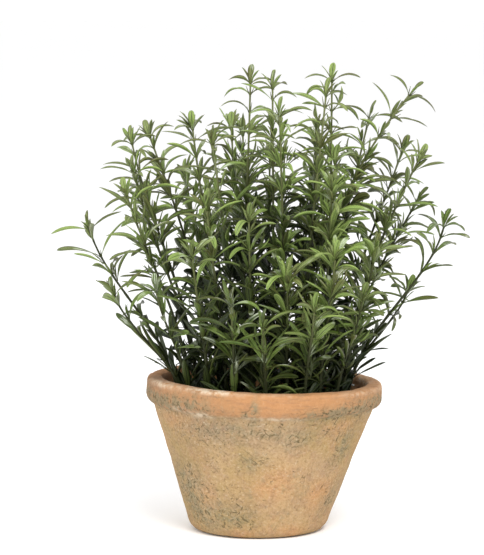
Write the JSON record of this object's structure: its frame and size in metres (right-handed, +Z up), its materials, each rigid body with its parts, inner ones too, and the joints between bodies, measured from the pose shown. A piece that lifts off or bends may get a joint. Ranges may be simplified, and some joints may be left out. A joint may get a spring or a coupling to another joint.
{
  "type": "potted rosemary plant",
  "caption": "Rosemary plant with upright leafy sprigs in soil, in a weathered clay half-pot with a thick rolled rim.",
  "frame": {"origin": "on the surface that the pot stands on, under the middle of the spread of leaves; the pot's foot is centred 2.1 mm to -X and 4.0 mm to -Y of it", "axes": "+Z up the plant, -Y towards the front that the picture shows, +X to the right seen from the front"},
  "size_m": [0.2465, 0.1906, 0.277],
  "materials": {
    "pot": "unglazed fired clay, tan to orange, weathered with grey-green patches",
    "soil": "dark crumbly peat",
    "foliage": "green leaves, satin, lighter and greyer at the tips"
  },
  "bodies": {
    "root": {"pot": "pot", "soil": "soil", "sprig_01": "foliage", "sprig_02": "foliage", "sprig_03": "foliage", "sprig_04": "foliage", "sprig_05": "foliage", "sprig_06": "foliage", "sprig_07": "foliage", "sprig_08": "foliage", "sprig_09": "foliage", "sprig_10": "foliage", "sprig_11": "foliage", "sprig_12": "foliage", "sprig_13": "foliage", "sprig_14": "foliage", "sprig_15": "foliage", "sprig_16": "foliage", "sprig_17": "foliage", "sprig_18": "foliage", "sprig_19": "foliage", "sprig_20": "foliage", "sprig_21": "foliage", "sprig_22": "foliage", "sprig_23": "foliage", "sprig_24": "foliage", "sprig_25": "foliage", "sprig_26": "foliage", "sprig_27": "foliage", "sprig_28": "foliage", "sprig_29": "foliage", "sprig_30": "foliage", "sprig_31": "foliage", "sprig_32": "foliage", "sprig_33": "foliage", "sprig_34": "foliage", "sprig_35": "foliage", "sprig_36": "foliage", "sprig_37": "foliage", "sprig_38": "foliage", "sprig_39": "foliage", "sprig_40": "foliage", "sprig_41": "foliage", "sprig_42": "foliage", "sprig_43": "foliage"}
  },
  "joints": []
}
